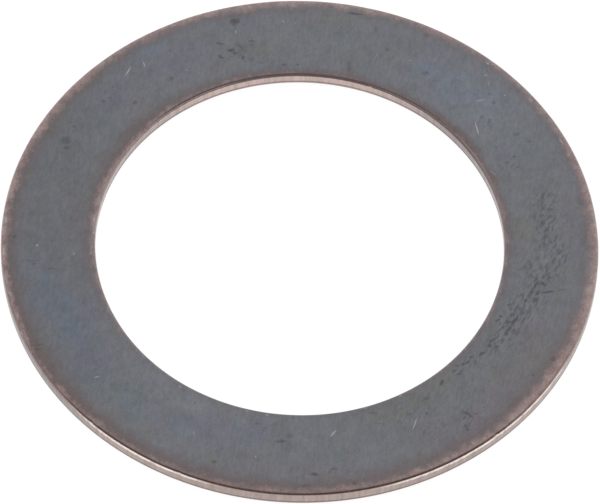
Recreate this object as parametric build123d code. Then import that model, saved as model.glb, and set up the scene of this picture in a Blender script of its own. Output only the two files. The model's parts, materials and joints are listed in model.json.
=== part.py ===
"""Shim ring, blanked in one stroke from cold-rolled steel strip.

A flat ring of uniform thickness, one solid of revolution about +Z. Both of its
sheared edges, at the bore and at the rim, have the section that blanking leaves.
From the top face down they are a rounded die roll, a straight burnished land that
holds the stated diameter, a torn band that draws back into the metal, and a small
edge break at the bottom face. The origin is the centre of the bore at the bottom face.
"""
from build123d import *
import os

# Driving dimensions, in millimetres.
BORE_DIAMETER = 13.0
OUTSIDE_DIAMETER = 19.0
THICKNESS = 0.5

# Section of a sheared edge, in millimetres.
ROLL_RADIUS = 0.14       # rounding where the strip drew down before it sheared
LAND_HEIGHT = 0.24       # burnished land, parallel to the axis
FRACTURE_SETBACK = 0.012  # how far the torn band draws back by the time it meets the edge break
EDGE_BREAK = 0.02        # radius of the corner at the bottom face

# Heights above the bottom face, worked out from the sizes above.
LAND_TOP = THICKNESS - ROLL_RADIUS
LAND_FOOT = LAND_TOP - LAND_HEIGHT


def sheared_edge(wall_radius: float, into_metal: int) -> tuple[tuple, tuple]:
    """Draw one sheared edge of the section, from the top face to the bottom face.

    Args:
        wall_radius: radius of the burnished land.
        into_metal: +1 where the metal lies outside the wall (the bore), -1 at the rim.

    Returns:
        The points where the edge meets the top face and the bottom face.
    """
    outwards = (-into_metal, 0)
    torn_radius = wall_radius + into_metal * FRACTURE_SETBACK
    top_face_end = (wall_radius + into_metal * ROLL_RADIUS, THICKNESS)
    bottom_face_end = (torn_radius + into_metal * EDGE_BREAK, 0)

    TangentArc(top_face_end, (wall_radius, LAND_TOP), tangent=outwards)
    Line((wall_radius, LAND_TOP), (wall_radius, LAND_FOOT))
    Line((wall_radius, LAND_FOOT), (torn_radius, EDGE_BREAK))
    TangentArc(bottom_face_end, (torn_radius, EDGE_BREAK), tangent=outwards)
    return top_face_end, bottom_face_end


def shim_ring() -> Part:
    """Revolve the section of the ring about its axis."""
    with BuildPart() as ring:
        with BuildSketch(Plane.XZ):
            with BuildLine():
                bore_top, bore_bottom = sheared_edge(BORE_DIAMETER / 2, into_metal=1)
                rim_top, rim_bottom = sheared_edge(OUTSIDE_DIAMETER / 2, into_metal=-1)
                Line(bore_top, rim_top)
                Line(bore_bottom, rim_bottom)
            make_face()
        revolve(axis=Axis.Z)
    return ring.part


ring = shim_ring()
ring.label = "shim_ring"

os.makedirs("parts", exist_ok=True)
export_step(ring, "parts/shim_ring.step")
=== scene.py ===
"""Looks of a thin steel shim ring, dressed around its CAD frame.

The ring was blanked in one stroke from cold-rolled strip. Its two faces keep the
dark, satin skin of the strip, with cloudy heat tints, draw flecks and a few handling
scratches. Its sheared edges are bare and pinkish: a die roll at the top face, a
burnished land, a torn band that has drawn back, and a small edge break at the foot.

Sizes are in millimetres and angles in degrees, anticlockwise from +X seen from above.
"""

import json
import logging
import math
from collections.abc import Callable, Iterable
from dataclasses import dataclass
from enum import Enum

import bpy
import numpy as np
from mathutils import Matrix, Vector


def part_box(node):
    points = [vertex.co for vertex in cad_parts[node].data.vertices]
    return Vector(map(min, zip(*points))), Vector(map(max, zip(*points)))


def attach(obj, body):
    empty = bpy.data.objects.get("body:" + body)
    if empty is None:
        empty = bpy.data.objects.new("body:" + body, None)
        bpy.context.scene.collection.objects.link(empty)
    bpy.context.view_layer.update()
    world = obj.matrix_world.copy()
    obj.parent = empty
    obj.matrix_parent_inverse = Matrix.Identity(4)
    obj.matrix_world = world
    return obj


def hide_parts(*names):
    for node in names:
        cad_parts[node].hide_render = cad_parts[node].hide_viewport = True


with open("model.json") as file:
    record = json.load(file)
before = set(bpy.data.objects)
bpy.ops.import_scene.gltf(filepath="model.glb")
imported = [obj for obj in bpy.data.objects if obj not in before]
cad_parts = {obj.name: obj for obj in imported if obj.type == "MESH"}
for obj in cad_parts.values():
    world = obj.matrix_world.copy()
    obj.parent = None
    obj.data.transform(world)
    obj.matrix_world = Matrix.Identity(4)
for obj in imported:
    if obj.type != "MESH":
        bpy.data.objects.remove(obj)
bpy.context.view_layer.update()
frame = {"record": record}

log = logging.getLogger("shim_ring")

MM = 0.001
NODE = "shim_ring"
WELD = 1e-7
TOUCH = 0.01

Socket = bpy.types.NodeSocket
Value = Socket | float | tuple | Vector
Span = tuple[float, float]


def paint(red: int, green: int, blue: int) -> tuple[float, float, float, float]:
    """Turn a colour as a paint chart gives it, 0 to 255, into the light it reflects."""
    def linear(level: int) -> float:
        share = level / 255
        return share / 12.92 if share <= 0.04045 else ((share + 0.055) / 1.055) ** 2.4
    return (linear(red), linear(green), linear(blue), 1.0)


# What can be found on the steel.


class Tint(Enum):
    """Heat tints and other soft patches on the top face, each a mesh attribute."""

    BLUE = "blue_tint"
    VIOLET = "violet_tint"
    TEAL = "teal_tint"
    MAUVE = "mauve_tint"
    OLIVE = "olive_tint"
    BROWN = "brown_tint"
    PALE = "pale_patch"
    FLECKED = "draw_flecks"


class MarkKind(Enum):
    """Small marks on the top face."""

    SCRATCH = "scratch"
    # Glints are painted highlights, some of them pale specks of bare metal.
    GLINT = "glint"
    SPOT = "spot"


@dataclass(frozen=True)
class Cloud:
    """One soft oval patch of tint on the top face, x and y being taken from the ring's axis."""

    tint: Tint
    x: float
    y: float
    length: float
    width: float
    heading: float
    strength: float

    def at(self, x: np.ndarray, y: np.ndarray) -> np.ndarray:
        """Strength of the patch at points of the face."""
        turn = math.radians(self.heading)
        along = ((x - self.x) * math.cos(turn) + (y - self.y) * math.sin(turn)) / self.length
        across = ((y - self.y) * math.cos(turn) - (x - self.x) * math.sin(turn)) / self.width
        return self.strength * np.exp(-3.0 * (along * along + across * across))


@dataclass(frozen=True)
class Mark:
    """One small mark on the top face.

    Args:
        kind: what sort of mark it is.
        x: where its middle is, from the ring's axis.
        y: the same, towards the back.
        length: its longer size.
        width: its shorter size.
        heading: direction of its length, from +X.
        strength: how much of the skin it changes.
        bow: how far its ends curve away, as a share of its width.
    """

    kind: MarkKind
    x: float
    y: float
    length: float
    width: float
    heading: float = 0.0
    strength: float = 1.0
    bow: float = 0.0


@dataclass(frozen=True)
class EdgeStation:
    """How far the heat tint has crept in at one place round a sheared edge."""

    angle: float
    brown_edge: float
    brown_reach: float
    pink_edge: float
    pink_reach: float


@dataclass(frozen=True)
class EdgeArc:
    """An arc of a sheared edge where something shows more than elsewhere."""

    angle: float
    half_arc: float
    strength: float

    def at(self, angle: np.ndarray) -> np.ndarray:
        """Strength of the arc at angles round the ring."""
        swing = (angle - self.angle + 180) % 360 - 180
        return self.strength * np.exp(-np.power(np.abs(swing) / self.half_arc, 4))


@dataclass(frozen=True)
class Nick:
    """A small dent where an edge has been knocked."""

    angle: float
    radius: float
    height: float
    size: float
    depth: float

    def at(self, x: np.ndarray, y: np.ndarray, height: np.ndarray) -> np.ndarray:
        """Depth of the dent at points of the ring."""
        turn = math.radians(self.angle)
        gap = (x - self.radius * math.cos(turn)) ** 2 + (y - self.radius * math.sin(turn)) ** 2
        return self.depth * np.exp(-3.0 * (gap + (height - self.height) ** 2) / self.size ** 2)


def each(kind: type, *common: Enum, rows: Iterable[tuple[float, ...]]) -> list:
    """Make one item from each row of its numbers, after what they all have in common."""
    return [kind(*common, *row) for row in rows]


RIM_TINT = each(EdgeStation, rows=(
    (-180, 1.0, 0.7, 1.0, 0.28), (-150, 1.0, 0.84, 0.8, 0.24), (-120, 1.0, 0.8, 0.65, 0.28),
    (-90, 1.0, 0.84, 0.6, 0.32), (-60, 1.0, 0.95, 0.85, 0.42), (-30, 1.0, 0.92, 1.0, 0.48),
    (0, 0.7, 0.6, 1.0, 0.46), (30, 0.5, 0.55, 0.85, 0.34), (60, 0.6, 0.65, 0.9, 0.4),
    (90, 0.6, 0.65, 1.0, 0.45), (120, 0.8, 0.7, 0.95, 0.42), (150, 1.0, 0.8, 1.0, 0.45),
))

BORE_TINT = each(EdgeStation, rows=(
    (-180, 0.7, 0.6, 0.8, 0.28), (-155, 0.4, 0.4, 0.5, 0.22), (-120, 0.2, 0.25, 0.2, 0.14),
    (-60, 0.3, 0.35, 0.2, 0.14), (-20, 0.5, 0.4, 0.5, 0.18), (10, 0.7, 0.4, 0.5, 0.18),
    (40, 0.8, 0.36, 0.2, 0.14), (75, 0.7, 0.34, 0.2, 0.14), (105, 0.75, 0.42, 0.35, 0.16),
    (130, 0.85, 0.65, 0.6, 0.22), (155, 0.9, 0.8, 0.75, 0.26),
))

# Arcs where a painted highlight of the low side light runs along the top of the land.
RIM_PAINTED_HIGHLIGHT = each(EdgeArc, rows=(
    (-127, 9, 0.9), (-114, 8, 1.0), (-63, 9, 0.9), (-50, 10, 1.0), (-36, 9, 0.9),
))

BORE_PAINTED_HIGHLIGHT = each(EdgeArc, rows=(
    (148, 8, 0.7), (138, 6, 0.9), (127, 8, 1.0), (117, 6, 0.8), (78, 4, 0.4), (71, 1.2, 1.0),
    (66, 2.5, 0.8), (53, 2.0, 0.6),
))

# Where the die roll is painted dark brown: partly oxide, partly a painted dark reflection of the dim room
# in front.
RIM_OXIDE_AND_DARK_REFLECTION = each(EdgeArc, rows=(
    (-150, 22, 0.5), (-100, 40, 0.8), (-50, 32, 0.85),
))

BORE_OXIDE_AND_DARK_REFLECTION = each(EdgeArc, rows=(
    (70, 50, 1.0), (138, 18, 0.35),
))

# Arcs where the wall is painted grey instead of rosy.
BORE_GREY = each(EdgeArc, rows=(
    (28, 32, 0.85), (156, 28, 0.6),
))

RIM_GREY = each(EdgeArc, rows=(
    (-158, 24, 0.7), (-14, 18, 0.4),
))

NICKS = each(Nick, rows=(
    (-103.0, 6.6, 0.48, 0.08, 0.8), (-97.3, 6.6, 0.48, 0.1, 1.0), (-86.4, 6.6, 0.48, 0.07, 0.8),
    (-67.5, 6.6, 0.48, 0.09, 0.9), (71.0, 6.5, 0.34, 0.1, 1.0), (177.0, 9.4, 0.47, 0.12, 0.9),
    (-175.4, 9.42, 0.46, 0.14, 0.9), (-156.4, 9.42, 0.46, 0.1, 1.0), (-132.0, 9.45, 0.42, 0.12, 0.8),
    (-112.0, 9.45, 0.4, 0.14, 0.8), (-48.0, 9.45, 0.42, 0.14, 0.8), (-20.5, 9.42, 0.45, 0.1, 0.7),
    (26.6, 9.4, 0.47, 0.14, 0.8), (50.5, 9.4, 0.47, 0.1, 1.0), (117.3, 9.4, 0.47, 0.1, 0.8),
))

CLOUDS = (
    *each(Cloud, Tint.BLUE, rows=(
        (-8.1, -1.95, 1.5, 0.8, -75, 0.7), (-7.5, -2.6, 1.3, 0.9, -70, 0.7),
        (-6.9, -3.7, 1.6, 1.1, -60, 0.9), (-5.0, -6.5, 1.3, 0.9, -45, 0.5),
        (-3.3, -7.2, 1.4, 0.7, -20, 0.5), (-1.4, -7.3, 1.2, 0.7, 0, 0.5), (4.7, 6.3, 1.9, 1.2, -45, 0.8),
        (6.0, 5.8, 0.9, 0.7, -45, 0.5), (3.9, 6.9, 0.9, 0.6, 0, 0.5), (6.6, 3.8, 0.9, 0.5, -60, 0.4),
        (-5.0, 7.3, 1.2, 0.6, 40, 0.6), (-1.8, 8.5, 0.7, 0.5, 10, 0.4), (0.8, 7.8, 0.7, 0.5, 0, 0.35),
    )),
    *each(Cloud, Tint.VIOLET, rows=(
        (-6.2, -4.95, 1.4, 0.9, -50, 0.9), (-3.0, -6.95, 1.0, 0.45, -20, 0.8),
        (-1.2, -7.15, 0.8, 0.45, 0, 0.5), (-8.2, -0.55, 0.8, 0.6, 90, 0.5),
        (-6.7, -3.2, 0.6, 0.5, 0, 0.5), (-4.3, 6.8, 1.9, 0.8, 30, 0.8), (-6.2, 5.3, 1.2, 0.8, 50, 0.8),
        (-7.4, 2.7, 0.8, 0.6, 70, 0.4), (4.3, 7.0, 0.6, 0.5, 0, 0.4), (-0.8, 7.05, 0.6, 0.4, 0, 0.5),
    )),
    *each(Cloud, Tint.TEAL, rows=(
        (-6.0, -5.8, 1.4, 0.8, -45, 0.6), (-5.0, -5.9, 1.0, 0.8, -45, 0.5),
        (-0.2, -8.3, 1.0, 0.7, 0, 0.5), (1.5, -8.0, 1.2, 0.7, 10, 0.4), (5.5, -5.4, 1.2, 0.9, 45, 0.5),
        (6.6, -3.7, 0.7, 0.5, 60, 0.4), (6.5, 4.6, 1.4, 1.0, -60, 0.5), (7.3, 3.5, 1.1, 0.8, -65, 0.5),
        (1.2, 8.0, 0.9, 0.6, 0, 0.4), (2.9, 7.8, 1.0, 0.6, -20, 0.4), (-6.4, 4.2, 1.3, 1.0, 55, 0.5),
        (-8.2, 1.3, 0.9, 0.7, 80, 0.3), (-2.4, 7.6, 1.4, 0.9, 15, 0.3),
    )),
    *each(Cloud, Tint.MAUVE, rows=(
        (6.9, -0.25, 0.9, 0.6, 0, 0.7), (6.6, -5.2, 2.4, 1.0, 50, 0.8), (7.5, -3.4, 1.7, 0.8, 65, 0.7),
        (-5.4, 5.0, 0.8, 0.6, 60, 0.5), (-7.2, 0.5, 1.2, 0.5, 85, 0.6), (8.7, 1.0, 1.8, 0.5, 90, 0.5),
        (4.1, -6.9, 0.9, 0.6, 30, 0.5), (-1.6, -8.3, 0.9, 0.5, 0, 0.3), (0.3, 8.8, 1.0, 0.35, 0, 0.4),
        (-3.4, 7.9, 1.0, 0.5, 25, 0.3), (5.2, -6.9, 2.6, 0.8, 38, 0.6), (0.0, -8.5, 3.6, 0.5, 0, 0.6),
    )),
    *each(Cloud, Tint.OLIVE, rows=(
        (-7.9, -4.4, 1.2, 0.5, -65, 0.7), (-5.6, -6.9, 1.1, 0.5, -45, 0.7),
        (-4.6, -7.3, 0.6, 0.4, -35, 0.6), (-2.6, -8.2, 1.0, 0.6, -15, 0.5),
        (7.05, 0.6, 1.1, 0.5, 85, 0.8), (3.2, -6.2, 2.2, 0.6, 30, 0.8), (4.7, -5.2, 1.5, 0.5, 45, 0.7),
        (6.0, -3.4, 1.3, 0.4, 60, 0.5), (7.7, -4.0, 1.1, 0.5, 65, 0.6), (3.8, -8.1, 1.2, 0.5, 25, 0.5),
        (-1.5, 7.35, 0.8, 0.4, 0, 0.9), (1.0, 8.7, 1.1, 0.4, -5, 0.6), (-8.1, 3.9, 0.4, 0.35, 60, 0.6),
        (-6.9, 1.6, 0.8, 0.45, 80, 0.6), (8.4, -1.4, 1.2, 0.6, 80, 0.5), (7.0, -4.6, 2.6, 0.9, 55, 0.5),
    )),
    *each(Cloud, Tint.BROWN, rows=(
        (-4.85, -7.9, 0.6, 0.22, -32, 0.8), (-6.95, -6.2, 0.7, 0.2, -48, 0.6),
        (-6.4, -6.75, 0.7, 0.22, -45, 0.7), (-7.5, -5.75, 0.5, 0.18, -52, 0.4),
        (-8.3, -4.3, 0.4, 0.2, 20, 0.4), (-5.5, -7.3, 0.5, 0.25, -40, 0.3),
        (5.3, 3.95, 1.0, 0.35, -53, 1.0), (4.8, 4.55, 0.6, 0.25, -48, 0.8),
        (4.3, 5.0, 0.4, 0.15, -42, 1.0), (6.0, 2.75, 0.6, 0.25, -65, 0.7), (1.4, 6.65, 0.4, 0.25, 0, 0.6),
        (8.1, -4.3, 0.5, 0.25, 65, 0.8), (7.0, -5.85, 0.5, 0.3, 55, 0.8), (8.6, -3.2, 0.5, 0.25, 70, 0.6),
        (8.95, 1.9, 0.4, 0.15, 90, 0.8), (9.12, 0.6, 1.0, 0.2, 90, 0.5), (8.55, 3.5, 0.6, 0.25, -65, 0.6),
        (-7.0, 6.1, 0.8, 0.35, 45, 0.6), (-6.0, 6.95, 0.3, 0.25, 0, 0.6), (-2.0, 8.8, 0.9, 0.15, 8, 0.7),
        (-5.3, 4.3, 1.4, 0.4, 50, 0.5),
    )),
    *each(Cloud, Tint.PALE, rows=(
        (5.7, 5.4, 3.6, 1.8, -45, 0.5), (-3.3, -6.2, 2.4, 0.8, -25, 0.35),
    )),
    *each(Cloud, Tint.FLECKED, rows=(
        (6.95, -2.5, 1.7, 0.55, 65, 1.0), (6.2, -3.6, 0.9, 0.35, 58, 0.8), (5.3, -4.5, 1.1, 0.4, 48, 0.8),
        (7.6, -1.6, 1.1, 0.5, 65, 1.0), (8.2, -0.5, 1.2, 0.6, 80, 0.8), (7.3, -0.8, 0.6, 0.5, 60, 0.7),
        (7.8, 1.0, 1.4, 0.6, 85, 0.6), (7.7, 1.95, 0.5, 0.4, 90, 0.6), (6.7, 3.2, 1.1, 0.6, -65, 0.35),
        (5.4, -6.55, 0.7, 0.5, 90, 0.6), (-2.2, 7.35, 1.0, 0.6, 10, 0.5), (7.8, 0.6, 3.6, 1.5, 88, 0.4),
        (6.6, -3.4, 2.6, 1.2, 58, 0.4), (3.6, -6.3, 2.2, 0.8, 30, 0.4), (4.6, -7.0, 1.5, 0.9, 35, 0.3),
    )),
)

MARKS = (
    *each(Mark, MarkKind.SCRATCH, rows=(
        (5.58, 4.56, 0.65, 0.055, 103, 1.0, 0.5), (-5.71, 6.4, 0.52, 0.06, 65),
        (-5.21, 6.7, 0.28, 0.05, 106, 0.8), (1.22, -7.21, 0.4, 0.06, 54),
        (3.76, -6.77, 0.56, 0.05, 73, 0.9), (5.68, 5.68, 0.36, 0.05, 12, 0.6),
        (5.95, 6.35, 0.3, 0.04, 92, 0.5), (6.13, 2.83, 0.34, 0.04, -40, 0.5),
        (-6.22, -5.38, 0.25, 0.06, 15, 0.6), (2.28, 7.3, 0.6, 0.04, 65, 0.25),
        (4.25, 7.3, 0.6, 0.04, 63, 0.25),
    )),
    # Glints: painted highlights, some of them pale specks of bare metal.
    *each(Mark, MarkKind.GLINT, rows=(
        (-3.82, 6.52, 0.08, 0.06, 0, 0.7), (-0.75, 8.58, 0.12, 0.08, 90, 0.6),
        (-0.37, 8.53, 0.08, 0.06, 90, 0.4), (-2.29, 8.1, 0.18, 0.08, 90, 0.4),
        (-8.33, -0.48, 0.11, 0.09, 40, 0.8), (-7.15, -0.75, 0.16, 0.06, 80, 0.5),
        (-3.12, -7.35, 0.18, 0.07, 90, 0.5), (-1.17, -8.15, 0.12, 0.08, 60, 0.4),
        (6.47, 5.9, 0.1, 0.07, 40, 0.6), (5.86, 6.68, 0.14, 0.12, 0, 0.4),
        (3.4, 7.17, 0.16, 0.07, 0, 0.4), (-9.36, 0.45, 0.32, 0.07, 86, 0.8),
        (-9.38, -0.75, 0.4, 0.06, 94, 0.8), (-8.67, -3.78, 0.2, 0.08, -65, 0.8),
        (-9.25, -1.75, 0.4, 0.05, 102, 0.5), (-4.28, 8.3, 0.14, 0.1, 30, 0.6),
        (-6.56, 0.6, 0.2, 0.09, 85, 0.6), (-6.56, 0.1, 0.16, 0.08, 90, 0.7),
        (8.3, 4.15, 0.3, 0.08, -60, 0.6), (7.3, 5.75, 0.25, 0.1, -55, 0.5),
        (6.25, 6.95, 0.2, 0.06, -42, 0.6), (5.9, 7.15, 0.14, 0.1, -40, 0.7),
        (-1.5, -6.47, 0.16, 0.05, -13, 0.6), (-0.86, -6.6, 0.12, 0.06, -5, 0.8),
        (-3.6, -5.65, 0.14, 0.08, -30, 0.5), (2.2, -6.22, 0.25, 0.05, 20, 0.6),
        (3.3, -5.72, 0.16, 0.06, 30, 0.6),
    )),
    *each(Mark, MarkKind.SPOT, rows=(
        (-2.33, 8.52, 0.34, 0.24, 0), (-2.35, 8.4, 0.18, 0.12, 0, 0.6),
        (-2.8, 7.61, 0.27, 0.09, -12, 0.8), (-2.42, 7.36, 0.26, 0.15, 0),
        (-2.28, 7.25, 0.14, 0.12, 0, 0.9), (-2.73, 7.09, 0.24, 0.1, -30),
        (-2.02, 7.07, 0.12, 0.18, 0, 0.9), (-2.1, 7.5, 0.36, 0.09, -45, 0.7),
        (-1.75, 7.75, 0.24, 0.09, 10, 0.6), (-1.78, 7.6, 0.14, 0.12, 0, 0.5),
        (-1.74, 7.03, 0.18, 0.24, 0, 0.5), (-0.68, 6.84, 0.18, 0.14, 0, 0.8),
        (-0.28, 6.87, 0.15, 0.12, 0, 0.5), (-1.4, 6.9, 0.3, 0.12, 0, 0.3),
        (-4.3, 6.17, 0.18, 0.14, 60, 0.7), (-4.4, 7.25, 0.12, 0.1, 0, 0.4),
        (-3.65, 7.38, 0.16, 0.08, 0, 0.3), (1.6, 8.97, 0.55, 0.09, -5, 0.9),
        (0.78, 9.24, 0.18, 0.14, 0, 0.5), (1.42, 6.85, 0.16, 0.45, 0, 0.5),
        (2.25, 8.4, 0.15, 0.3, 0, 0.4), (2.65, 7.57, 0.14, 0.12, 0, 0.6), (3.9, 6.68, 0.3, 0.14, 0, 0.5),
        (3.9, 8.2, 0.2, 0.2, 0, 0.4), (5.97, 5.94, 0.12, 0.1, 0, 0.6), (6.12, 5.6, 0.1, 0.16, 0, 0.6),
        (5.72, 5.02, 0.12, 0.1, 0, 0.7), (5.98, 4.88, 0.2, 0.12, 70, 0.5),
        (6.85, 4.4, 0.24, 0.14, 0, 0.5), (7.3, 4.12, 0.2, 0.1, 0, 0.5), (6.78, 3.5, 0.12, 0.1, 0, 0.7),
        (6.55, 3.25, 0.16, 0.12, 30, 0.6), (6.2, 3.85, 0.08, 0.2, 0, 0.4), (6.9, 3.1, 0.12, 0.08, 0, 0.5),
        (7.7, 1.97, 0.28, 0.08, 78, 0.8), (7.5, 2.0, 0.16, 0.07, 80, 0.5),
        (7.65, 0.9, 0.3, 0.12, 85, 0.6), (8.03, 0.75, 0.24, 0.07, 80, 0.8),
        (7.76, 0.12, 0.2, 0.06, 85, 0.7), (8.36, 0.1, 0.2, 0.07, 75, 0.6),
        (8.36, -0.3, 0.22, 0.07, 75, 0.7), (8.15, -0.75, 0.22, 0.08, 70, 0.7),
        (7.85, -1.0, 0.18, 0.08, 65, 0.7), (7.35, -0.65, 0.2, 0.08, 70, 0.7),
        (7.47, -0.88, 0.14, 0.06, 80, 0.7), (7.25, -0.95, 0.18, 0.07, 60, 0.6),
        (7.73, -1.35, 0.16, 0.13, 60), (7.5, -1.42, 0.46, 0.09, 65), (7.88, -1.67, 0.5, 0.08, 5),
        (8.3, -1.58, 0.35, 0.06, 8, 0.6), (7.57, -1.73, 0.2, 0.08, 70), (7.48, -2.0, 0.26, 0.12, 62),
        (7.33, -1.85, 0.3, 0.07, 66, 0.7), (6.68, -2.2, 0.18, 0.1, 40, 0.8),
        (6.9, -2.3, 0.4, 0.07, 66, 0.8), (7.08, -2.4, 0.4, 0.07, 66, 0.8),
        (7.25, -2.45, 0.36, 0.07, 64, 0.7), (6.45, -1.75, 0.3, 0.06, 70, 0.5),
        (6.3, -2.8, 0.18, 0.12, 40), (6.4, -2.65, 0.16, 0.08, 0, 0.9), (6.6, -2.85, 0.26, 0.08, 60, 0.9),
        (6.87, -2.78, 0.52, 0.11, 62), (6.68, -3.1, 0.3, 0.1, 60), (6.6, -3.31, 0.16, 0.1, 80),
        (7.1, -2.8, 0.3, 0.06, 70, 0.7), (6.16, -3.56, 0.34, 0.1, 42), (6.07, -3.76, 0.14, 0.14, 0),
        (6.29, -3.8, 0.16, 0.12, 60, 0.9), (5.83, -4.07, 0.3, 0.11, 50), (5.5, -4.2, 0.2, 0.12, 40, 0.9),
        (5.38, -4.42, 0.16, 0.1, 30, 0.9), (5.6, -4.4, 0.16, 0.08, 60, 0.8),
        (5.06, -4.55, 0.22, 0.08, 0, 0.8), (4.95, -4.76, 0.24, 0.08, 50, 0.8),
        (5.12, -4.86, 0.2, 0.1, 20, 0.8), (5.25, -4.65, 0.12, 0.1, 0, 0.6), (4.58, -5.2, 0.26, 0.1, 60),
        (4.12, -5.8, 0.2, 0.12, 40, 0.6), (3.6, -6.4, 0.12, 0.1, 0, 0.6),
        (4.12, -6.37, 0.12, 0.1, 0, 0.6), (2.45, -6.42, 0.3, 0.12, 0, 0.5),
        (2.7, -6.8, 0.36, 0.06, 0, 0.5), (7.45, -4.8, 0.12, 0.1, 0, 0.6),
        (8.06, -4.2, 0.18, 0.16, 0, 0.7), (5.35, -6.3, 0.26, 0.12, -20, 0.8),
        (5.5, -6.42, 0.14, 0.1, 0, 0.9), (5.65, -6.31, 0.2, 0.06, 10, 0.7),
        (5.35, -6.78, 0.18, 0.18, 0, 0.7), (5.4, -6.92, 0.12, 0.1, 0, 0.9),
        (5.9, -6.06, 0.1, 0.08, 0, 0.6), (0.68, -8.73, 0.24, 0.13, 0), (1.26, -8.5, 0.18, 0.1, 0, 0.7),
        (1.15, -8.62, 0.12, 0.2, 0, 0.5), (1.9, -9.0, 0.14, 0.12, 0, 0.7),
        (0.4, -9.15, 0.3, 0.07, 0, 0.6), (-0.4, -7.56, 0.38, 0.1, 8, 0.8),
        (-0.15, -7.36, 0.2, 0.16, 0, 0.5), (-2.45, -8.38, 0.2, 0.13, 0, 0.7),
        (-1.13, -6.95, 0.3, 0.06, 0, 0.6), (-3.12, -6.25, 0.08, 0.08, 0, 0.6),
        (-7.6, 3.6, 0.3, 0.34, 0, 0.7), (-7.55, 3.32, 0.2, 0.16, 0, 0.8),
        (-7.35, 4.15, 0.16, 0.12, 0, 0.5), (-6.45, 5.2, 0.14, 0.14, 0, 0.6),
        (-6.25, 5.32, 0.12, 0.1, 0, 0.5), (-5.45, 5.17, 0.18, 0.12, 0, 0.6),
        (-6.1, 5.75, 0.18, 0.05, 0, 0.5), (-9.07, -0.17, 0.14, 0.12, 0, 0.8),
        (-8.5, -1.08, 0.34, 0.05, 0, 0.5), (-8.42, -1.2, 0.14, 0.07, 60, 0.6),
        (-7.8, -1.35, 0.34, 0.05, 0, 0.6), (-7.6, -0.95, 0.24, 0.05, 20, 0.5),
        (-8.2, -4.25, 0.5, 0.06, 5, 0.6), (-8.2, -4.42, 0.36, 0.06, 0, 0.6),
    )),
)


# Node work.


@dataclass(frozen=True)
class Grain:
    """Cloudy noise: lumps for each millimetre, layers of finer lumps, and how strong those are."""

    scale: float
    detail: float
    roughness: float


class Bench:
    """Lays out the nodes of one tree and joins them."""

    def __init__(self, tree: bpy.types.NodeTree) -> None:
        """Start on an empty tree."""
        self.tree = tree
        tree.nodes.clear()

    def feed(self, socket: Socket, value: Value) -> None:
        """Join a socket to another, or set it to a plain value."""
        if isinstance(value, bpy.types.NodeSocket):
            self.tree.links.new(value, socket)
        else:
            socket.default_value = value

    def add(self, kind: str, inputs: dict | None = None, **settings: object) -> bpy.types.Node:
        """Add a node.

        Args:
            kind: Blender's name of the node type.
            inputs: what goes into its sockets, by name or number.
            settings: the node's own properties.

        Returns:
            The node.
        """
        node = self.tree.nodes.new(kind)
        for name, value in settings.items():
            setattr(node, name, value)
        for name, value in (inputs or {}).items():
            self.feed(node.inputs[name], value)
        return node

    def sum(self, operation: str, *values: Value) -> Socket:
        """Work out a number from one to three others."""
        return self.add("ShaderNodeMath", dict(enumerate(values)), operation=operation).outputs[0]

    def product(self, *values: Value) -> Socket:
        """Multiply two or more numbers."""
        total = values[0]
        for value in values[1:]:
            total = self.sum("MULTIPLY", total, value)
        return total

    def vector(self, operation: str, *values: Value) -> bpy.types.Node:
        """Work out a vector, or a number from one."""
        return self.add("ShaderNodeVectorMath", dict(enumerate(values)), operation=operation)

    def ease(self, value: Value, start: Value, end: Value, low: Value = 0.0,
             high: Value = 1.0) -> Socket:
        """Pass smoothly from low, where value is at start, to high, where it is at end."""
        inputs = {"Value": value, "From Min": start, "From Max": end, "To Min": low, "To Max": high}
        return self.add("ShaderNodeMapRange", inputs, interpolation_type="SMOOTHSTEP").outputs["Result"]

    def noise(self, place: Socket, grain: Grain) -> bpy.types.Node:
        """Cloudy noise at a place."""
        return self.add("ShaderNodeTexNoise", {"Vector": place, "Scale": grain.scale,
                                               "Detail": grain.detail, "Roughness": grain.roughness})

    def lumps(self, place: Socket, grain: Grain) -> Socket:
        """Cloudy noise as a number that swings either side of nought."""
        return self.sum("SUBTRACT", self.noise(place, grain).outputs["Fac"], 0.5)

    def colour_lumps(self, place: Socket, grain: Grain) -> Socket:
        """Cloudy noise as three numbers that swing either side of nought."""
        return self.vector("SUBTRACT", self.noise(place, grain).outputs["Color"], (0.5,) * 3).outputs[0]

    def drawn_out(self, place: Socket, heading: float, stretch: float) -> Socket:
        """Stretch what is read there along one direction of the face."""
        turn = (0.0, 0.0, math.radians(heading))
        inputs = {"Vector": place, "Rotation": turn, "Scale": (stretch, 1.0, 1.0)}
        return self.add("ShaderNodeMapping", inputs, vector_type="TEXTURE").outputs[0]

    def mix(self, share: Value, first: Value, second: Value) -> Socket:
        """Blend two colours."""
        node = self.add("ShaderNodeMix", data_type="RGBA")
        self.feed(node.inputs["Factor"], share)
        self.feed(node.inputs[6], first)
        self.feed(node.inputs[7], second)
        return node.outputs[2]

    def blend(self, share: Value, first: Value, second: Value) -> Socket:
        """Blend two numbers."""
        return self.add("ShaderNodeMix", {"Factor": share, "A": first, "B": second}).outputs[0]

    def shade(self, colour: Socket, level: Value) -> Socket:
        """Make a colour lighter or darker."""
        node = self.vector("SCALE", colour)
        self.feed(node.inputs["Scale"], level)
        return node.outputs[0]

    def attribute(self, name: str) -> Socket:
        """Read a number that the mesh carries."""
        node = self.add("ShaderNodeAttribute", attribute_name=name, attribute_type="GEOMETRY")
        return node.outputs["Fac"]


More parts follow.
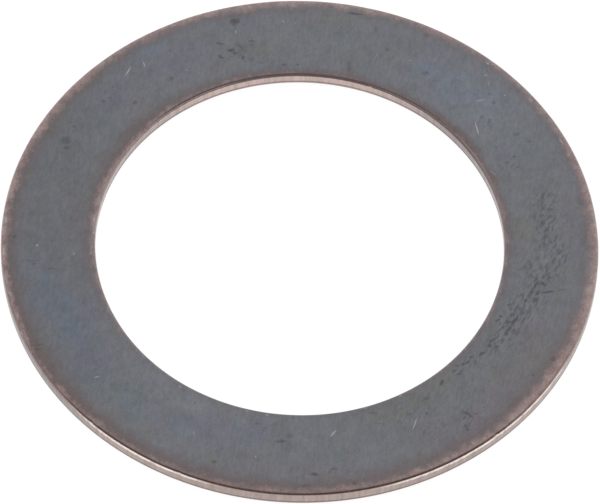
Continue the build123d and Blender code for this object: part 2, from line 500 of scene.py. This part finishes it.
def stamp_tree() -> bpy.types.NodeTree:
    """Make the stamp that draws one small soft oval, or a bowed line, on the face.

    Returns:
        A node group whose output is 1 on the mark and fades to 0 at its edge.
    """
    tree = bpy.data.node_groups.new("stamp", "ShaderNodeTree")
    for name in ("Place", "Centre", "Along", "Across"):
        tree.interface.new_socket(name, in_out="INPUT", socket_type="NodeSocketVector")
    for name in ("Bow", "Strength"):
        tree.interface.new_socket(name, in_out="INPUT", socket_type="NodeSocketFloat")
    tree.interface.new_socket("Mark", in_out="OUTPUT", socket_type="NodeSocketFloat")
    bench = Bench(tree)
    given = bench.add("NodeGroupInput").outputs
    offset = bench.vector("SUBTRACT", given["Place"], given["Centre"]).outputs[0]
    along = bench.vector("DOT_PRODUCT", offset, given["Along"]).outputs["Value"]
    across = bench.vector("DOT_PRODUCT", offset, given["Across"]).outputs["Value"]
    square = bench.sum("MULTIPLY", along, along)
    bowed = bench.sum("MULTIPLY_ADD", square, given["Bow"], across)
    reach = bench.sum("MULTIPLY_ADD", bowed, bowed, square)
    bench.add("NodeGroupOutput", {"Mark": bench.ease(reach, 1.0, 0.0, 0.0, given["Strength"])})
    return tree


# Finishes.


@dataclass
class Look:
    """What a finish gives at each point: its colour, how rough it is and its relief in millimetres."""

    colour: Socket
    roughness: Socket
    relief: Socket


@dataclass
class Spot:
    """Where the shader is on the ring, in millimetres, and whether it is in the bore's half."""

    place: Socket
    height: Socket
    edge_gap: Socket
    in_bore: Socket


@dataclass(frozen=True)
class StripSkin:
    """The dark satin skin of the rolled strip, on both faces."""

    slate: tuple = paint(111, 112, 117)
    tints: tuple = (
        (Tint.BLUE, paint(106, 114, 126)),
        (Tint.VIOLET, paint(106, 107, 119)),
        (Tint.TEAL, paint(103, 113, 115)),
        (Tint.MAUVE, paint(113, 107, 112)),
        (Tint.OLIVE, paint(110, 110, 105)),
        (Tint.BROWN, paint(101, 90, 86)),
        (Tint.PALE, paint(122, 127, 134)),
    )
    rolling_direction: float = 82.0
    drawn_out: float = 2.4
    mottle: float = 0.62
    # The skin is lifted by elsewhere and painted darker towards its left side, a painted shade.
    left_side: float = 0.9
    left_shade_from: Span = (-4.5, -8.0)
    elsewhere: float = 1.08
    colour_mottle: float = 0.16
    tint_shift: float = 7.0
    tint_breakup: Grain = Grain(2.2, 4.0, 0.65)
    streaks: Grain = Grain(11.0, 3.0, 0.75)
    drift: Grain = Grain(1.6, 4.0, 0.7)
    drift_share: float = 0.62
    sparkle: Grain = Grain(26.0, 1.0, 0.5)
    sparkle_share: float = 0.6
    hue_drift: Grain = Grain(5.0, 3.0, 0.7)
    grain_relief: float = 0.002
    roughness: float = 0.42
    roll_roughness: float = 0.24
    roll_height: Span = (0.494, 0.47)

    def look(self, bench: Bench, spot: Spot) -> Look:
        """Lay the skin: drifting grey, tints, rolling grain and fine sparkle.

        Args:
            bench: where the nodes go.
            spot: where the shader is.

        Returns:
            The skin's look.
        """
        colour: Value = self.slate
        for number, (tint, shade) in enumerate(self.tints):
            shift = (self.tint_shift * number, 3.0, 0.0)
            shifted = bench.vector("ADD", spot.place, shift).outputs[0]
            breakup = bench.ease(bench.lumps(shifted, self.tint_breakup), -0.16, 0.12, 0.3, 1.0)
            colour = bench.mix(bench.product(bench.attribute(tint.value), breakup), colour, shade)
        along = bench.drawn_out(spot.place, self.rolling_direction, self.drawn_out)
        drift = bench.product(bench.lumps(spot.place, self.drift), self.drift_share)
        grain = bench.sum("ADD", bench.lumps(along, self.streaks), drift)
        sparkle = bench.lumps(spot.place, self.sparkle)
        grain = bench.sum("MULTIPLY_ADD", sparkle, self.sparkle_share, grain)
        # Painted shade: the skin is darker towards the left side of the face.
        across = bench.add("ShaderNodeSeparateXYZ", {0: spot.place}).outputs[0]
        side = bench.ease(across, *self.left_shade_from, self.elsewhere, self.left_side * self.elsewhere)
        level = bench.sum("MULTIPLY_ADD", grain, self.mottle, 1.0)
        colour = bench.shade(colour, bench.sum("MULTIPLY", side, level))
        hues = bench.colour_lumps(along, self.hue_drift)
        hues = bench.vector("MULTIPLY_ADD", hues, (self.colour_mottle,) * 3, (1.0,) * 3).outputs[0]
        colour = bench.vector("MULTIPLY", colour, hues).outputs[0]
        rolled = bench.ease(spot.height, *self.roll_height)
        roughness = bench.blend(rolled, self.roughness, self.roll_roughness)
        return Look(colour, roughness, bench.product(grain, self.grain_relief))


@dataclass(frozen=True)
class EdgeTint:
    """The brown and pink heat tint that creeps in from a sheared edge."""

    brown: tuple = paint(109, 97, 97)
    pink: tuple = paint(166, 148, 145)
    deep_pink: tuple = paint(146, 127, 126)
    # Die roll colours: partly oxide, partly a painted dark reflection.
    oxide_and_dark_reflection: tuple = paint(110, 90, 83)
    bore_lip: tuple = paint(148, 132, 129)
    bore_oxide_and_dark_reflection: tuple = paint(92, 78, 75)
    streak_direction: float = 88.0
    drawn_out: float = 2.5
    streaks: Grain = Grain(9.0, 3.0, 0.7)
    drift: Grain = Grain(1.8, 3.0, 0.6)
    raggedness: float = 0.45
    grit: Grain = Grain(19.0, 2.0, 0.6)
    brown_grit: float = 0.7
    brown_full: float = 0.05
    pink_patches: Grain = Grain(3.4, 4.0, 0.7)
    pink_grit: float = 0.9
    pink_streaks: float = 0.6
    pink_full: float = 0.02
    lip_foot: Span = (0.45, 0.42)
    rim_roll: Span = (0.492, 0.47)
    bore_roll: Span = (0.48, 0.466)

    def over(self, bench: Bench, spot: Spot, skin: Look) -> Look:
        """Lay the tint over a skin.

        Args:
            bench: where the nodes go.
            spot: where the shader is.
            skin: what lies under the tint.

        Returns:
            The tinted look.
        """
        along = bench.drawn_out(spot.place, self.streak_direction, self.drawn_out)
        streaks = bench.lumps(along, self.streaks)
        drift = bench.product(bench.lumps(spot.place, self.drift), self.raggedness)
        ragged = bench.sum("MULTIPLY_ADD", streaks, self.raggedness, drift)
        gap = bench.sum("ADD", ragged, spot.edge_gap)
        grit = bench.lumps(spot.place, self.grit)
        brown = bench.shade(self.brown[:3], bench.sum("MULTIPLY_ADD", grit, self.brown_grit, 1.0))
        colour = bench.mix(self.share(bench, "brown", gap, self.brown_full), skin.colour, brown)
        patches = bench.ease(bench.lumps(spot.place, self.pink_patches), -0.15, 0.15)
        level = bench.sum("MULTIPLY_ADD", grit, self.pink_grit, 1.0)
        level = bench.sum("MULTIPLY_ADD", streaks, self.pink_streaks, level)
        pink = bench.shade(bench.mix(patches, self.deep_pink, self.pink), level)
        colour = bench.mix(self.share(bench, "pink", gap, self.pink_full), colour, pink)
        worn = bench.ease(streaks, -0.2, 0.15, 1.0, 0.7)
        # The die roll is painted dark brown in the marked arcs, partly oxide and partly a painted dark
        # reflection; the bore's roll is a lighter pink above the lip's foot.
        bore_lip = bench.mix(bench.ease(spot.height, *self.lip_foot), self.bore_lip, self.bore_oxide_and_dark_reflection)
        rolls = zip(self.rim_roll, self.bore_roll)
        rolled = bench.ease(spot.height, *(bench.blend(spot.in_bore, rim, bore) for rim, bore in rolls))
        oxide_and_dark_reflection = bench.product(rolled, bench.attribute("oxide_and_dark_reflection"), worn)
        colour = bench.mix(oxide_and_dark_reflection, colour, bench.mix(spot.in_bore, self.oxide_and_dark_reflection, bore_lip))
        return Look(colour, skin.roughness, skin.relief)

    @staticmethod
    def share(bench: Bench, tint: str, gap: Socket, full: float) -> Socket:
        """How much a tint covers: all that it can at the edge, and nothing past its reach."""
        reach = bench.ease(gap, bench.attribute(f"{tint}_reach"), full)
        return bench.product(bench.attribute(f"{tint}_edge"), reach)


@dataclass(frozen=True)
class ShearedWall:
    """The bare metal of a sheared edge: burnished land above, torn band below."""

    rosy: tuple = paint(174, 155, 152)
    sandy: tuple = paint(168, 153, 144)
    grey: tuple = paint(130, 124, 124)
    bore_gain: float = 1.29
    seam: tuple = paint(132, 118, 113)
    # Colour of the painted highlight along the top of the land.
    bright: tuple = paint(238, 228, 222)
    land_top: float = 0.36
    land_foot: float = 0.12
    line_length: float = 0.12
    draw_lines: Grain = Grain(8.0, 3.0, 0.65)
    draw_depth: float = 0.75
    draw_waver: float = 0.06
    patches: Grain = Grain(2.6, 3.0, 0.6)
    grains: Grain = Grain(22.0, 3.0, 0.7)
    grain_depth: float = 0.45
    highlight_breakup: Grain = Grain(4.0, 3.0, 0.6)
    seam_drop: float = 0.03
    seam_spread: Span = (0.065, 0.01)
    seam_share: float = 0.85
    highlight_rise: float = 0.045
    highlight_spread: Span = (0.055, 0.02)
    roughness: float = 0.28
    torn_roughness: float = 0.22
    relief: float = 0.002

    def look(self, bench: Bench, spot: Spot) -> Look:
        """Lay the land with its draw lines and a painted highlight along its top, the seam and the torn
        band's grains.

        Args:
            bench: where the nodes go.
            spot: where the shader is.

        Returns:
            The wall's look.
        """
        upright = bench.vector("MULTIPLY", spot.place, (1.0, 1.0, self.line_length)).outputs[0]
        draw = bench.lumps(upright, self.draw_lines)
        patches = bench.ease(bench.lumps(upright, self.patches), -0.12, 0.14)
        colour = bench.mix(patches, self.rosy, self.sandy)
        colour = bench.mix(bench.attribute("grey_wall"), colour, self.grey)
        grains = bench.lumps(spot.place, self.grains)
        level = bench.sum("MULTIPLY_ADD", draw, self.draw_depth, 1.0)
        level = bench.sum("MULTIPLY_ADD", grains, self.grain_depth, level)
        level = bench.product(level, bench.blend(spot.in_bore, 1.0, self.bore_gain))
        colour = bench.shade(colour, level)
        height = bench.sum("MULTIPLY_ADD", draw, self.draw_waver, spot.height)
        seam = self.line(bench, height, self.land_foot - self.seam_drop, self.seam_spread)
        colour = bench.mix(bench.product(seam, self.seam_share), colour, self.seam)
        # Painted highlight: a bright band along the top of the land, broken into patches, where the mesh
        # marks it.
        band = self.line(bench, height, self.land_top + self.highlight_rise, self.highlight_spread)
        patchy = bench.ease(bench.lumps(upright, self.highlight_breakup), -0.2, 0.06, 0.4, 1.0)
        bright = bench.product(band, patchy, bench.attribute("painted_highlight"))
        colour = bench.mix(bright, colour, self.bright)
        torn = bench.ease(height, self.land_foot + 0.01, self.land_foot - self.seam_drop)
        roughness = bench.blend(torn, self.roughness, self.roughness + self.torn_roughness)
        relief = bench.product(bench.sum("MULTIPLY_ADD", grains, torn, draw), self.relief)
        return Look(colour, roughness, relief)

    @staticmethod
    def line(bench: Bench, height: Socket, middle: float, spread: Span) -> Socket:
        """A level line round the wall, which fades in from the spread's first distance to its second."""
        return bench.ease(bench.sum("ABSOLUTE", bench.sum("SUBTRACT", height, middle)), *spread)


@dataclass(frozen=True)
class Marking:
    """How the small marks change the steel."""

    # Fresh metal of the scratches, also the colour of the glints, which are painted highlights.
    fresh_metal_and_glint_highlight: tuple = paint(168, 168, 170)
    soot: tuple = paint(76, 77, 80)
    fleck_direction: float = 64.0
    spot_depth: float = 0.64
    scratch_and_glint_depth: float = 0.85
    spot_spread: float = 1.3
    swirl: Grain = Grain(9.0, 2.0, 0.6)
    spot_swirl: float = 0.14
    line_swirl: float = 0.04
    dashes: Grain = Grain(10.0, 2.0, 0.6)
    dash_length: float = 2.6
    face_from: Span = (0.38, 0.45)
    scratch_relief: float = -0.003
    spot_roughness: float = 0.1

    def over(self, bench: Bench, spot: Spot, base: Look, marks: Iterable[Mark]) -> Look:
        """Lay draw flecks, dark spots, scratches and glints over a look, the glints being painted
        highlights.

        Args:
            bench: where the nodes go.
            spot: where the shader is.
            base: what lies under the marks.
            marks: the marks to lay.

        Returns:
            The marked look.
        """
        stamp = stamp_tree()
        upper = bench.ease(spot.height, *self.face_from)
        swirl = bench.colour_lumps(spot.place, self.swirl)
        ragged, wavy = (bench.vector("MULTIPLY_ADD", swirl, (share, share, 0.0), spot.place).outputs[0]
                        for share in (self.spot_swirl, self.line_swirl))
        dark = self.flecks(bench, spot)
        bright: Value = 0.0
        for mark in marks:
            turn = math.radians(mark.heading)
            is_spot = mark.kind is MarkKind.SPOT
            spread = self.spot_spread if is_spot else 1.0
            along = Vector((math.cos(turn), math.sin(turn), 0.0)) * (2 / mark.length / spread)
            across = Vector((-math.sin(turn), math.cos(turn), 0.0)) * (2 / mark.width / spread)
            node = bench.add("ShaderNodeGroup", node_tree=stamp)
            # Along and across have no upright part, so that only x and y count.
            place = ragged if is_spot else wavy
            values = (place, (mark.x, mark.y, 0.0), along, across, mark.bow, mark.strength)
            for socket, value in zip(node.inputs, values):
                bench.feed(socket, value)
            if is_spot:
                dark = bench.sum("MAXIMUM", dark, node.outputs[0])
            else:
                bright = bench.sum("MAXIMUM", bright, node.outputs[0])
        dark = bench.product(dark, upper)
        bright = bench.product(bright, upper)
        colour = bench.mix(bench.product(dark, self.spot_depth), base.colour, self.soot)
        # Scratches show fresh metal; glints are painted highlights in the same colour.
        colour = bench.mix(bench.product(bright, self.scratch_and_glint_depth), colour, self.fresh_metal_and_glint_highlight)
        relief = bench.sum("MULTIPLY_ADD", bright, self.scratch_relief, base.relief)
        roughness = bench.sum("MULTIPLY_ADD", dark, self.spot_roughness, base.roughness)
        return Look(colour, roughness, relief)

    def flecks(self, bench: Bench, spot: Spot) -> Socket:
        """Short dark dashes drawn out along the strip, where the mesh says that it is flecked."""
        along = bench.drawn_out(spot.place, self.fleck_direction, self.dash_length)
        dashes = bench.ease(bench.noise(along, self.dashes).outputs["Fac"], 0.46, 0.66)
        return bench.product(dashes, bench.attribute(Tint.FLECKED.value))


@dataclass(frozen=True)
class BlankedSteel:
    """The whole finish of the ring: skin, edge tint, bare walls and marks."""

    skin: StripSkin = StripSkin()
    edge_tint: EdgeTint = EdgeTint()
    wall: ShearedWall = ShearedWall()
    marking: Marking = Marking()
    bore_radius: float = 6.5
    rim_radius: float = 9.5
    bare_fade: float = 0.012
    bare_foot: Span = (0.002, 0.008)
    half_fade: float = 0.1

    def material(self) -> bpy.types.Material:
        """Build the material.

        Returns:
            The finished material, which reads Object coordinates and the mesh's tints.
        """
        material = bpy.data.materials.new("blanked_steel")
        material.use_nodes = True
        bench = Bench(material.node_tree)
        spot = self.find_place(bench)
        face = self.edge_tint.over(bench, spot, self.skin.look(bench, spot))
        face = self.marking.over(bench, spot, face, MARKS)
        wall = self.wall.look(bench, spot)
        bare_top = bench.attribute("bare_top")
        bare_edge = (bench.sum(operation, bare_top, self.bare_fade) for operation in ("ADD", "SUBTRACT"))
        bare = bench.product(bench.ease(spot.height, *bare_edge), bench.ease(spot.height, *self.bare_foot))
        colour = bench.mix(bare, face.colour, wall.colour)
        roughness = bench.blend(bare, face.roughness, wall.roughness)
        relief = bench.blend(bare, face.relief, wall.relief)
        bump = bench.add("ShaderNodeBump", {"Height": relief, "Strength": 1.0, "Distance": MM})
        steel = bench.add("ShaderNodeBsdfPrincipled", {"Base Color": colour, "Roughness": roughness,
                                                       "Metallic": 1.0, "Normal": bump.outputs[0]})
        bench.add("ShaderNodeOutputMaterial", {"Surface": steel.outputs[0]})
        return material

    def find_place(self, bench: Bench) -> Spot:
        """Work out where the shader is, in millimetres and from the nearer sheared edge."""
        metres = bench.add("ShaderNodeTexCoord").outputs["Object"]
        place = bench.shade(metres, 1 / MM)
        flat = bench.vector("MULTIPLY", place, (1.0, 1.0, 0.0)).outputs[0]
        radius = bench.vector("LENGTH", flat).outputs["Value"]
        height = bench.add("ShaderNodeSeparateXYZ", {0: place}).outputs[2]
        gap = bench.sum("MINIMUM", bench.sum("SUBTRACT", self.rim_radius, radius),
                        bench.sum("SUBTRACT", radius, self.bore_radius))
        middle = (self.bore_radius + self.rim_radius) / 2
        in_bore = bench.ease(radius, middle + self.half_fade, middle - self.half_fade)
        return Spot(place, height, gap, in_bore)


# The ring.


@dataclass
class ShimRing:
    """The ring itself, modelled as a section and turned about its axis.

    Args:
        bore_radius: radius of the bore's land.
        rim_radius: radius of the rim's land.
        thickness: height of the ring.
        roll_radius: rounding of each sheared edge at the top face.
        land_height: height of the burnished land.
        setback: how far the torn band draws back by its foot.
        edge_break: rounding of each sheared edge at the bottom face.
        quarter_steps: steps of a quarter turn.
        torn_depth: roughness of the torn band.
        torn_lumps: size of that roughness.
        roll_waver: how far the die roll wanders inwards.
        roll_lumps: size of that wandering.
        nick_depth: depth of the deepest nicks.
        wear_gap: how far wear keeps from the lines where the section turns.
        bare_below_rim: height where the rim's bare metal begins.
        bare_below_bore: the same at the bore.
        roll_steps: facets of the die roll.
        break_steps: facets of the edge break.
        face_rings: strips across each face.
        land_rings: cuts round the land.
        torn_rings: cuts round the torn band.
        smooth_below: turn between two faces below which they shade as one, in degrees.
    """

    bore_radius: float
    rim_radius: float
    thickness: float
    roll_radius: float = 0.14
    land_height: float = 0.24
    setback: float = 0.012
    edge_break: float = 0.02
    quarter_steps: int = 336
    torn_depth: float = 0.012
    torn_lumps: float = 0.11
    roll_waver: float = 0.008
    roll_lumps: float = 0.9
    nick_depth: float = 0.02
    wear_gap: float = 0.002
    bare_below_rim: float = 0.43
    bare_below_bore: float = 0.372
    roll_steps: int = 6
    break_steps: int = 3
    face_rings: int = 20
    land_rings: int = 2
    torn_rings: int = 3
    smooth_below: float = 40.0

    @classmethod
    def from_frame(cls) -> "ShimRing":
        """Take the ring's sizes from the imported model."""
        low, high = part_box(NODE)
        radii = {mount["name"]: mount["dims"].get("r_mm") for mount in frame["record"]["mounts"]}
        return cls(radii["bore"], radii["rim"], (high.z - low.z) / MM)

    @property
    def land_top(self) -> float:
        """Height where the die roll meets the land."""
        return self.thickness - self.roll_radius

    @property
    def land_foot(self) -> float:
        """Height where the land ends and the torn band begins."""
        return self.land_top - self.land_height

    @property
    def middle(self) -> float:
        """Radius half way across the face."""
        return (self.bore_radius + self.rim_radius) / 2

    def build(self) -> bpy.types.Object:
        """Model the ring, paint its tints and dress it.

        Returns:
            The finished piece.
        """
        ring = self.draw_section()
        self.turn_section(ring)
        self.wear(ring)
        self.paint_tints(ring)
        finish = BlankedSteel(bore_radius=self.bore_radius, rim_radius=self.rim_radius)
        ring.data.materials.append(finish.material())
        return ring

    def draw_section(self) -> bpy.types.Object:
        """Draw the section as a closed outline, standing on the XZ plane."""
        width = self.rim_radius - self.bore_radius
        bpy.ops.object.select_all(action="DESELECT")
        bpy.ops.mesh.primitive_plane_add(size=MM, location=(self.middle * MM, 0, self.thickness / 2 * MM),
                                         rotation=(math.pi / 2, 0, 0))
        ring = bpy.context.object
        ring.name = "dressed_shim_ring"
        ring.data.name = ring.name
        ring.scale = (width, self.thickness, 1)
        bpy.ops.object.transform_apply(location=True, rotation=True, scale=True)

        bpy.ops.object.mode_set(mode="EDIT")
        bpy.ops.mesh.select_all(action="SELECT")
        bpy.ops.mesh.delete(type="ONLY_FACE")
        self.cut_heights([self.land_foot])
        self.pick(ring, lambda point: point.z > (self.thickness - TOUCH) * MM)
        bpy.ops.mesh.bevel(offset=self.roll_radius * MM, segments=self.roll_steps, affect="VERTICES")
        self.pick(ring, lambda point: point.z < TOUCH * MM)
        bpy.ops.transform.resize(value=(1 - 2 * self.setback / width, 1, 1),
                                 center_override=(self.middle * MM, 0, 0))
        bpy.ops.mesh.bevel(offset=self.edge_break * MM, segments=self.break_steps, affect="VERTICES")
        self.divide_section(width)
        bpy.ops.object.mode_set(mode="OBJECT")
        return ring

    def divide_section(self, width: float) -> None:
        """Cut the outline's straight runs into short ones, so that the mesh can carry tints and wear."""
        def evenly(start: float, length: float, parts: int) -> list[float]:
            return [start + length * number / parts for number in range(1, parts)]

        face_width = width - 2 * self.roll_radius
        for radius in evenly(self.bore_radius + self.roll_radius, face_width, self.face_rings):
            self.cut((radius * MM, 0, 0), (1, 0, 0))
        self.cut_heights(evenly(self.land_foot, self.land_height, self.land_rings + 1))
        self.cut_heights(evenly(self.edge_break, self.land_foot - self.edge_break, self.torn_rings + 1))

    def turn_section(self, ring: bpy.types.Object) -> None:
        """Spin the section through a quarter turn and mirror it to a whole ring."""
        bpy.ops.object.mode_set(mode="EDIT")
        bpy.ops.mesh.select_all(action="SELECT")
        bpy.ops.mesh.spin(steps=self.quarter_steps, angle=math.pi / 2, center=(0, 0, 0), axis=(0, 0, 1))
        bpy.ops.object.mode_set(mode="OBJECT")
        mirror = ring.modifiers.new("quarters", "MIRROR")
        mirror.use_axis = (True, True, False)
        mirror.merge_threshold = WELD
        bpy.ops.object.modifier_apply(modifier=mirror.name)
        bpy.ops.object.mode_set(mode="EDIT")
        bpy.ops.mesh.select_all(action="SELECT")
        bpy.ops.mesh.normals_make_consistent(inside=False)
        bpy.ops.object.mode_set(mode="OBJECT")
        bpy.ops.object.shade_smooth_by_angle(angle=math.radians(self.smooth_below))

    @staticmethod
    def measure(ring: bpy.types.Object) -> np.ndarray:
        """Read where the mesh's points are: x, y and height, in millimetres."""
        points = np.empty(len(ring.data.vertices) * 3)
        ring.data.vertices.foreach_get("co", points)
        return points.reshape(-1, 3).T / MM

    def wear(self, ring: bpy.types.Object) -> None:
        """Roughen the torn band, let the die roll waver and knock the nicks in."""
        x, y, height = self.measure(ring)
        gap = self.wear_gap
        torn = (height > self.edge_break + gap) & (height < self.land_foot - gap)
        on_roll = (height > self.land_top + gap) & (height < self.thickness - gap)
        nicks = sum(nick.at(x, y, height) for nick in NICKS)
        self.press(ring, "torn", torn, self.torn_depth, self.torn_lumps)
        self.press(ring, "roll", on_roll, self.roll_waver, self.roll_lumps)
        self.press(ring, "nicks", np.clip(nicks, 0, 1), self.nick_depth)

    @staticmethod
    def press(ring: bpy.types.Object, name: str, weights: np.ndarray, depth: float,
              lumps: float = 0.0) -> None:
        """Press part of the surface into the metal.

        Args:
            ring: the mesh.
            name: what to call this wear.
            weights: how much each point takes part, 0 to 1.
            depth: deepest that a point goes in, in millimetres.
            lumps: size of the lumps, in millimetres, or 0 to press evenly.
        """
        group = ring.vertex_groups.new(name=name)
        for number in np.flatnonzero(weights > 0.01):
            group.add([int(number)], float(weights[number]), "REPLACE")
        dent = ring.modifiers.new(name, "DISPLACE")
        dent.vertex_group = name
        dent.direction = "NORMAL"
        dent.strength = -depth * MM
        dent.mid_level = 0.0
        if lumps:
            dent.texture = bpy.data.textures.new(name, "CLOUDS")
            dent.texture.noise_scale = lumps * MM
            dent.texture.noise_depth = 2
            dent.texture_coords = "LOCAL"
        bpy.ops.object.modifier_apply(modifier=dent.name)

    def paint_tints(self, ring: bpy.types.Object) -> None:
        """Give the mesh its clouds of tint, its edge tints, and say where its edge is bare metal."""
        x, y, height = self.measure(ring)
        radius = np.hypot(x, y)
        angle = np.degrees(np.arctan2(y, x))
        on_top = height > self.land_top + TOUCH
        for tint in Tint:
            levels = sum(cloud.at(x, y) for cloud in CLOUDS if cloud.tint is tint)
            self.add_attribute(ring, tint.value, np.clip(levels, 0, 1) * on_top)
        by_rim = radius > self.middle
        for name in ("brown_edge", "brown_reach", "pink_edge", "pink_reach"):
            bore, rim = (np.interp(angle, [station.angle for station in edge],
                                   [getattr(station, name) for station in edge], period=360)
                         for edge in (BORE_TINT, RIM_TINT))
            self.add_attribute(ring, name, np.where(by_rim, rim, bore))
        # These arcs hold the painted highlight on the land, the die roll's oxide with its painted dark
        # reflection, and the walls' grey.
        arcs = {"painted_highlight": (BORE_PAINTED_HIGHLIGHT, RIM_PAINTED_HIGHLIGHT), "oxide_and_dark_reflection": (BORE_OXIDE_AND_DARK_REFLECTION, RIM_OXIDE_AND_DARK_REFLECTION),
                "grey_wall": (BORE_GREY, RIM_GREY)}
        for name, edges in arcs.items():
            bore, rim = (sum(arc.at(angle) for arc in edge) for edge in edges)
            self.add_attribute(ring, name, np.clip(np.where(by_rim, rim, bore), 0, 1))
        self.add_attribute(ring, "bare_top", np.where(by_rim, self.bare_below_rim, self.bare_below_bore))

    @staticmethod
    def add_attribute(ring: bpy.types.Object, name: str, levels: np.ndarray) -> None:
        """Store a number at each point of the mesh."""
        ring.data.attributes.new(name, "FLOAT", "POINT").data.foreach_set("value", levels)

    @staticmethod
    def cut(point: tuple, normal: tuple) -> None:
        """Cut the edges of the mesh in edit mode where a plane crosses them."""
        bpy.ops.mesh.select_all(action="SELECT")
        bpy.ops.mesh.bisect(plane_co=point, plane_no=normal, threshold=WELD)

    def cut_heights(self, heights: Iterable[float]) -> None:
        """Cut the outline at each height."""
        for height in heights:
            self.cut((0, 0, height * MM), (0, 0, 1))

    @staticmethod
    def pick(ring: bpy.types.Object, wanted: Callable[[Vector], bool]) -> None:
        """Select the points that pass a test, in edit mode."""
        bpy.ops.mesh.select_mode(type="VERT")
        bpy.ops.mesh.select_all(action="DESELECT")
        bpy.ops.object.mode_set(mode="OBJECT")
        for vertex in ring.data.vertices:
            vertex.select = wanted(vertex.co)
        bpy.ops.object.mode_set(mode="EDIT")


# The studio.


@dataclass
class Studio:
    """A pale table under soft light, with the dim of the room in front of it."""

    table_size: float = 2.0
    table_shade: tuple = paint(240, 240, 240)
    table_drop: float = 0.01
    table_glow: float = 1.14
    glow_share: float = 0.8
    sky: float = 1.0
    dim: float = 0.32
    strip: float = 2.4
    ahead: Span = (-0.1, -0.35)
    room_foot: Span = (0.02, 0.32)
    room_top: Span = (0.9, 0.76)
    right_side: Span = (0.45, 0.65)
    right_ahead: Span = (0.1, -0.05)
    left_side: Span = (-0.45, -0.6)
    left_ahead: Span = (-0.3, -0.45)
    strip_top: Span = (0.17, 0.12)

    def build(self) -> None:
        """Lay the table and hang the light."""
        bpy.ops.object.select_all(action="DESELECT")
        bpy.ops.mesh.primitive_plane_add(size=self.table_size, location=(0, 0, -self.table_drop * MM))
        table = bpy.context.object
        table.name = "table"
        table.data.materials.append(self.table_top())
        self.hang_sky()

    def table_top(self) -> bpy.types.Material:
        """A pale matt top that a camera and a mirror see as white, with the ring's soft shadow."""
        material = bpy.data.materials.new("table_top")
        material.use_nodes = True
        bench = Bench(material.node_tree)
        rays = bench.add("ShaderNodeLightPath").outputs
        seen = bench.sum("MAXIMUM", rays["Is Camera Ray"],
                         bench.sum("MAXIMUM", rays["Is Glossy Ray"], rays["Is Transmission Ray"]))
        matt = bench.add("ShaderNodeBsdfDiffuse", {"Color": self.table_shade}).outputs[0]
        white = bench.add("ShaderNodeEmission", {"Color": (1, 1, 1, 1), "Strength": self.table_glow})
        share = bench.sum("MULTIPLY", seen, self.glow_share)
        top = bench.add("ShaderNodeMixShader", {0: share, 1: matt, 2: white.outputs[0]})
        bench.add("ShaderNodeOutputMaterial", {"Surface": top.outputs[0]})
        return material

    def hang_sky(self) -> None:
        """Soft white light from all round, dimmer low down in front, where the room is."""
        world = bpy.data.worlds.new("soft_light")
        world.use_nodes = True
        bpy.context.scene.world = world
        bench = Bench(world.node_tree)
        towards = bench.add("ShaderNodeTexCoord").outputs["Generated"]
        up = bench.add("ShaderNodeSeparateXYZ", {0: towards}).outputs[2]
        flat = bench.vector("MULTIPLY", towards, (1.0, 1.0, 0.0)).outputs[0]
        level_heading = bench.vector("NORMALIZE", flat).outputs[0]
        side, back, _ = bench.add("ShaderNodeSeparateXYZ", {0: level_heading}).outputs
        front = bench.ease(back, *self.ahead)
        band = bench.product(bench.ease(up, *self.room_foot), bench.ease(up, *self.room_top))
        level = bench.ease(bench.product(front, band), 0.0, 1.0, self.sky, self.dim)
        right = bench.product(bench.ease(side, *self.right_side), bench.ease(back, *self.right_ahead))
        left = bench.product(bench.ease(side, *self.left_side), bench.ease(back, *self.left_ahead))
        low = bench.product(bench.ease(up, *self.strip_top), bench.sum("ADD", left, right))
        level = bench.blend(low, level, self.strip)
        camera = bench.add("ShaderNodeLightPath").outputs["Is Camera Ray"]
        strength = bench.sum("MAXIMUM", camera, level)
        light = bench.add("ShaderNodeBackground", {"Color": (1, 1, 1, 1), "Strength": strength})
        bench.add("ShaderNodeOutputWorld", {"Surface": light.outputs[0]})


@dataclass
class Viewpoint:
    """A long lens looking down at the ring from the front, held a little out of level."""

    elevation: float = 56.05
    lean: float = 1.74
    distance: float = 210.9
    lens: float = 397.6
    aim: tuple = (0.016, -0.096, 0.0)
    sensor: float = 36.0
    nearest: float = 10.0
    farthest: float = 3000.0

    def build(self) -> None:
        """Set up the camera."""
        camera = bpy.data.objects.new("camera", bpy.data.cameras.new("camera"))
        bpy.context.scene.collection.objects.link(camera)
        camera.data.lens = self.lens
        camera.data.sensor_width = self.sensor
        camera.data.clip_start = self.nearest * MM
        camera.data.clip_end = self.farthest * MM
        slope = math.radians(self.elevation)
        back = Vector((0, -math.cos(slope), math.sin(slope)))
        camera.location = (Vector(self.aim) + back * self.distance) * MM
        camera.rotation_euler = (math.pi / 2 - slope, 0, 0)
        camera.rotation_euler.rotate_axis("Z", math.radians(self.lean))
        bpy.context.scene.camera = camera


def main() -> None:
    """Build the ring, then the studio and the camera round it."""
    logging.basicConfig(level=logging.INFO, format="%(name)s: %(message)s")
    ring = ShimRing.from_frame().build()
    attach(ring, "root")
    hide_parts(NODE)
    log.info("%s: %d faces", ring.name, len(ring.data.polygons))
    Studio().build()
    Viewpoint().build()
    bpy.context.scene.view_settings.view_transform = "Standard"


if __name__ == "__main__":
    main()
